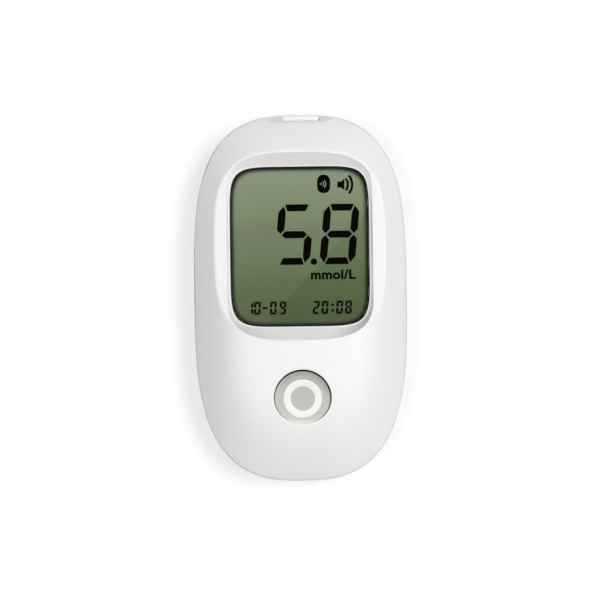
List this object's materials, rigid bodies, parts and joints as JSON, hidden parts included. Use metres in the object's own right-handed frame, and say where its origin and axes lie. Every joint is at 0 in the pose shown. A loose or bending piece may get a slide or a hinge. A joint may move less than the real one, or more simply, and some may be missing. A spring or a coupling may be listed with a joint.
{
  "type": "blood glucose meter",
  "caption": "Oval hand-held blood glucose meter with a dished display window, one round button, a test-strip slot at the top end and a sliding battery door on the back.",
  "frame": {"origin": "middle of the flat back face, on the surface the meter lies on", "axes": "+Z out of the display, +Y towards the strip end, +X to the right of a reader"},
  "size_m": [0.056, 0.0964, 0.0199],
  "materials": {
    "shell_white": "moulded gloss white ABS",
    "shell_rear": "moulded fine satin white ABS",
    "clear_window": "clear moulded acrylic with a hard coat",
    "black_foam": "closed-cell black foam",
    "lcd_film": "grey-green reflective display film",
    "lcd_glass": "thin display glass",
    "black_plastic": "black moulded nylon",
    "silicone": "layered silicone strip",
    "board": "green solder mask on glass-fibre board",
    "tin_plate": "tin-plated sheet",
    "ceramic_chip": "ceramic chip bodies",
    "ivory_plastic": "natural moulded nylon",
    "button_grey": "warm grey satin ABS",
    "ring_white": "white second-shot ABS",
    "port_white": "moulded white ABS",
    "contact_brass": "gold-flashed brass",
    "speaker_steel": "dark painted steel basket",
    "speaker_film": "thin dark film cone",
    "cell_steel": "nickel-plated steel can",
    "spring_steel": "nickel-plated spring steel",
    "screw_steel": "zinc-plated screw steel",
    "label_film": "blank silver-grey film label"
  },
  "bodies": {
    "meter": {"front_housing": "shell_white", "rear_housing": "shell_rear", "display_window": "clear_window", "window_gasket": "black_foam", "lcd_polarizer": "lcd_film", "lcd_front_glass": "lcd_glass", "lcd_rear_glass": "lcd_glass", "lcd_reflector": "lcd_film", "lcd_frame": "black_plastic", "zebra_connector": "silicone", "main_board": "board", "microcontroller": "black_plastic", "wireless_module": "tin_plate", "chip_components": "ceramic_chip", "tact_switch": "black_plastic", "strip_port": "port_white", "strip_connector": "ivory_plastic", "strip_contacts": "contact_brass", "speaker_frame": "speaker_steel", "speaker_magnet": "tin_plate", "speaker_cone": "speaker_film", "speaker_gasket": "black_foam", "speaker_pins": "contact_brass", "upper_coin_cell": "cell_steel", "lower_coin_cell": "cell_steel", "cell_spring_contacts": "spring_steel", "cell_side_contacts": "spring_steel", "housing_screws": "screw_steel", "board_screws": "screw_steel", "rating_label": "label_film"},
    "power_button": {"button_cap": "button_grey", "button_ring": "ring_white", "switch_plunger": "ivory_plastic"},
    "door": {"battery_door": "shell_rear"}
  },
  "joints": [
    {"name": "button_press", "type": "slide", "parent": "meter", "child": "power_button", "axis": [0, 0, -1], "range_m": [0, 0.0006], "stiffness_N_per_m": 2500},
    {"name": "door_slide", "type": "slide", "parent": "meter", "child": "door", "axis": [0, -1, 0], "range_m": [0, 0.046]}
  ]
}
